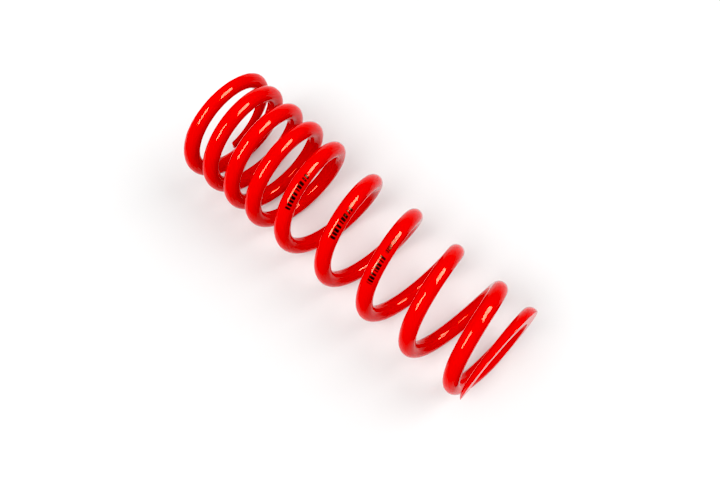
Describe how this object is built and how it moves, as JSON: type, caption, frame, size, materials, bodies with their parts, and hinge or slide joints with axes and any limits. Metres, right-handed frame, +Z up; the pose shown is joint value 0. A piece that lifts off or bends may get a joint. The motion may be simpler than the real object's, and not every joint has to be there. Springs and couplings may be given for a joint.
{
  "type": "coil spring",
  "caption": "Progressive-rate automotive suspension compression spring with closely wound turns at one end, widely wound turns at the other and ground flat seats.",
  "frame": {"origin": "on the spring's axis, in the plane of the ground seat of the closely wound end", "axes": "+X along the spring's axis from the closely wound seat to the widely wound seat; +Z up with the spring lying on its side"},
  "size_m": [0.315, 0.1044, 0.1043],
  "materials": {
    "red_powder_coat": "gloss red powder coat over round spring steel wire"
  },
  "bodies": {
    "tight_seat_coil": {"tight_seat_coil": "red_powder_coat"},
    "tight_coil_2a": {"tight_coil_2a": "red_powder_coat"},
    "tight_coil_2b": {"tight_coil_2b": "red_powder_coat"},
    "tight_coil_2c": {"tight_coil_2c": "red_powder_coat"},
    "tight_coil_2d": {"tight_coil_2d": "red_powder_coat"},
    "tight_coil_3a": {"tight_coil_3a": "red_powder_coat"},
    "tight_coil_3b": {"tight_coil_3b": "red_powder_coat"},
    "tight_coil_3c": {"tight_coil_3c": "red_powder_coat"},
    "tight_coil_3d": {"tight_coil_3d": "red_powder_coat"},
    "tight_coil_4a": {"tight_coil_4a": "red_powder_coat"},
    "tight_coil_4b": {"tight_coil_4b": "red_powder_coat"},
    "tight_coil_4c": {"tight_coil_4c": "red_powder_coat"},
    "tight_coil_4d": {"tight_coil_4d": "red_powder_coat"},
    "change_coil_5a": {"change_coil_5a": "red_powder_coat"},
    "open_coil_5b": {"open_coil_5b": "red_powder_coat"},
    "open_coil_5c": {"open_coil_5c": "red_powder_coat"},
    "open_coil_5d": {"open_coil_5d": "red_powder_coat"},
    "open_coil_6a": {"open_coil_6a": "red_powder_coat"},
    "open_coil_6b": {"open_coil_6b": "red_powder_coat"},
    "open_coil_6c": {"open_coil_6c": "red_powder_coat"},
    "open_coil_6d": {"open_coil_6d": "red_powder_coat"},
    "open_coil_7a": {"open_coil_7a": "red_powder_coat"},
    "open_coil_7b": {"open_coil_7b": "red_powder_coat"},
    "open_coil_7c": {"open_coil_7c": "red_powder_coat"},
    "open_coil_7d": {"open_coil_7d": "red_powder_coat"},
    "open_coil_8a": {"open_coil_8a": "red_powder_coat"},
    "open_coil_8b": {"open_coil_8b": "red_powder_coat"},
    "open_coil_8c": {"open_coil_8c": "red_powder_coat"},
    "open_coil_8d": {"open_coil_8d": "red_powder_coat"},
    "open_coil_9a": {"open_coil_9a": "red_powder_coat"},
    "open_coil_9b": {"open_coil_9b": "red_powder_coat"},
    "open_coil_9c": {"open_coil_9c": "red_powder_coat"},
    "open_seat_coil": {"open_seat_coil": "red_powder_coat"}
  },
  "joints": [
    {"name": "tight_coils_close", "type": "slide", "parent": "tight_seat_coil", "child": "change_coil_5a", "axis": [-1, 0, 0], "range_m": [0, 0.0335], "stiffness_N_per_m": 173000},
    {"name": "tight_coil_2a_travel", "type": "slide", "parent": "tight_seat_coil", "child": "tight_coil_2a", "axis": [-1, 0, 0], "range_m": [0, 0.00101]},
    {"name": "tight_coil_2b_travel", "type": "slide", "parent": "tight_seat_coil", "child": "tight_coil_2b", "axis": [-1, 0, 0], "range_m": [0, 0.00353]},
    {"name": "tight_coil_2c_travel", "type": "slide", "parent": "tight_seat_coil", "child": "tight_coil_2c", "axis": [-1, 0, 0], "range_m": [0, 0.00619]},
    {"name": "tight_coil_2d_travel", "type": "slide", "parent": "tight_seat_coil", "child": "tight_coil_2d", "axis": [-1, 0, 0], "range_m": [0, 0.00886]},
    {"name": "tight_coil_3a_travel", "type": "slide", "parent": "tight_seat_coil", "child": "tight_coil_3a", "axis": [-1, 0, 0], "range_m": [0, 0.01152]},
    {"name": "tight_coil_3b_travel", "type": "slide", "parent": "tight_seat_coil", "child": "tight_coil_3b", "axis": [-1, 0, 0], "range_m": [0, 0.01418]},
    {"name": "tight_coil_3c_travel", "type": "slide", "parent": "tight_seat_coil", "child": "tight_coil_3c", "axis": [-1, 0, 0], "range_m": [0, 0.01684]},
    {"name": "tight_coil_3d_travel", "type": "slide", "parent": "tight_seat_coil", "child": "tight_coil_3d", "axis": [-1, 0, 0], "range_m": [0, 0.0195]},
    {"name": "tight_coil_4a_travel", "type": "slide", "parent": "tight_seat_coil", "child": "tight_coil_4a", "axis": [-1, 0, 0], "range_m": [0, 0.02217]},
    {"name": "tight_coil_4b_travel", "type": "slide", "parent": "tight_seat_coil", "child": "tight_coil_4b", "axis": [-1, 0, 0], "range_m": [0, 0.02483]},
    {"name": "tight_coil_4c_travel", "type": "slide", "parent": "tight_seat_coil", "child": "tight_coil_4c", "axis": [-1, 0, 0], "range_m": [0, 0.02749]},
    {"name": "tight_coil_4d_travel", "type": "slide", "parent": "tight_seat_coil", "child": "tight_coil_4d", "axis": [-1, 0, 0], "range_m": [0, 0.03015]},
    {"name": "open_coils_close", "type": "slide", "parent": "change_coil_5a", "child": "open_seat_coil", "axis": [-1, 0, 0], "range_m": [0, 0.136], "stiffness_N_per_m": 135000},
    {"name": "open_coil_5b_travel", "type": "slide", "parent": "change_coil_5a", "child": "open_coil_5b", "axis": [-1, 0, 0], "range_m": [0, 0.00421]},
    {"name": "open_coil_5c_travel", "type": "slide", "parent": "change_coil_5a", "child": "open_coil_5c", "axis": [-1, 0, 0], "range_m": [0, 0.01004]},
    {"name": "open_coil_5d_travel", "type": "slide", "parent": "change_coil_5a", "child": "open_coil_5d", "axis": [-1, 0, 0], "range_m": [0, 0.01743]},
    {"name": "open_coil_6a_travel", "type": "slide", "parent": "change_coil_5a", "child": "open_coil_6a", "axis": [-1, 0, 0], "range_m": [0, 0.02571]},
    {"name": "open_coil_6b_travel", "type": "slide", "parent": "change_coil_5a", "child": "open_coil_6b", "axis": [-1, 0, 0], "range_m": [0, 0.03341]},
    {"name": "open_coil_6c_travel", "type": "slide", "parent": "change_coil_5a", "child": "open_coil_6c", "axis": [-1, 0, 0], "range_m": [0, 0.04111]},
    {"name": "open_coil_6d_travel", "type": "slide", "parent": "change_coil_5a", "child": "open_coil_6d", "axis": [-1, 0, 0], "range_m": [0, 0.0488]},
    {"name": "open_coil_7a_travel", "type": "slide", "parent": "change_coil_5a", "child": "open_coil_7a", "axis": [-1, 0, 0], "range_m": [0, 0.05709]},
    {"name": "open_coil_7b_travel", "type": "slide", "parent": "change_coil_5a", "child": "open_coil_7b", "axis": [-1, 0, 0], "range_m": [0, 0.06467]},
    {"name": "open_coil_7c_travel", "type": "slide", "parent": "change_coil_5a", "child": "open_coil_7c", "axis": [-1, 0, 0], "range_m": [0, 0.07228]},
    {"name": "open_coil_7d_travel", "type": "slide", "parent": "change_coil_5a", "child": "open_coil_7d", "axis": [-1, 0, 0], "range_m": [0, 0.07987]},
    {"name": "open_coil_8a_travel", "type": "slide", "parent": "change_coil_5a", "child": "open_coil_8a", "axis": [-1, 0, 0], "range_m": [0, 0.08745]},
    {"name": "open_coil_8b_travel", "type": "slide", "parent": "change_coil_5a", "child": "open_coil_8b", "axis": [-1, 0, 0], "range_m": [0, 0.09504]},
    {"name": "open_coil_8c_travel", "type": "slide", "parent": "change_coil_5a", "child": "open_coil_8c", "axis": [-1, 0, 0], "range_m": [0, 0.10265]},
    {"name": "open_coil_8d_travel", "type": "slide", "parent": "change_coil_5a", "child": "open_coil_8d", "axis": [-1, 0, 0], "range_m": [0, 0.11023]},
    {"name": "open_coil_9a_travel", "type": "slide", "parent": "change_coil_5a", "child": "open_coil_9a", "axis": [-1, 0, 0], "range_m": [0, 0.11782]},
    {"name": "open_coil_9b_travel", "type": "slide", "parent": "change_coil_5a", "child": "open_coil_9b", "axis": [-1, 0, 0], "range_m": [0, 0.12541]},
    {"name": "open_coil_9c_travel", "type": "slide", "parent": "change_coil_5a", "child": "open_coil_9c", "axis": [-1, 0, 0], "range_m": [0, 0.133]}
  ],
  "couplings": [
    {"joint": "tight_coil_2a_travel", "follows": "tight_coils_close", "ratio": 0.0295},
    {"joint": "tight_coil_2b_travel", "follows": "tight_coils_close", "ratio": 0.1049},
    {"joint": "tight_coil_2c_travel", "follows": "tight_coils_close", "ratio": 0.1843},
    {"joint": "tight_coil_2d_travel", "follows": "tight_coils_close", "ratio": 0.2638},
    {"joint": "tight_coil_3a_travel", "follows": "tight_coils_close", "ratio": 0.3432},
    {"joint": "tight_coil_3b_travel", "follows": "tight_coils_close", "ratio": 0.4227},
    {"joint": "tight_coil_3c_travel", "follows": "tight_coils_close", "ratio": 0.5022},
    {"joint": "tight_coil_3d_travel", "follows": "tight_coils_close", "ratio": 0.5816},
    {"joint": "tight_coil_4a_travel", "follows": "tight_coils_close", "ratio": 0.6611},
    {"joint": "tight_coil_4b_travel", "follows": "tight_coils_close", "ratio": 0.7405},
    {"joint": "tight_coil_4c_travel", "follows": "tight_coils_close", "ratio": 0.82},
    {"joint": "tight_coil_4d_travel", "follows": "tight_coils_close", "ratio": 0.8994},
    {"joint": "open_coil_5b_travel", "follows": "open_coils_close", "ratio": 0.0308},
    {"joint": "open_coil_5c_travel", "follows": "open_coils_close", "ratio": 0.0737},
    {"joint": "open_coil_5d_travel", "follows": "open_coils_close", "ratio": 0.128},
    {"joint": "open_coil_6a_travel", "follows": "open_coils_close", "ratio": 0.1889},
    {"joint": "open_coil_6b_travel", "follows": "open_coils_close", "ratio": 0.2455},
    {"joint": "open_coil_6c_travel", "follows": "open_coils_close", "ratio": 0.3021},
    {"joint": "open_coil_6d_travel", "follows": "open_coils_close", "ratio": 0.3587},
    {"joint": "open_coil_7a_travel", "follows": "open_coils_close", "ratio": 0.4196},
    {"joint": "open_coil_7b_travel", "follows": "open_coils_close", "ratio": 0.4754},
    {"joint": "open_coil_7c_travel", "follows": "open_coils_close", "ratio": 0.5313},
    {"joint": "open_coil_7d_travel", "follows": "open_coils_close", "ratio": 0.5871},
    {"joint": "open_coil_8a_travel", "follows": "open_coils_close", "ratio": 0.6429},
    {"joint": "open_coil_8b_travel", "follows": "open_coils_close", "ratio": 0.6987},
    {"joint": "open_coil_8c_travel", "follows": "open_coils_close", "ratio": 0.7546},
    {"joint": "open_coil_8d_travel", "follows": "open_coils_close", "ratio": 0.8104},
    {"joint": "open_coil_9a_travel", "follows": "open_coils_close", "ratio": 0.8662},
    {"joint": "open_coil_9b_travel", "follows": "open_coils_close", "ratio": 0.922},
    {"joint": "open_coil_9c_travel", "follows": "open_coils_close", "ratio": 0.9778}
  ]
}
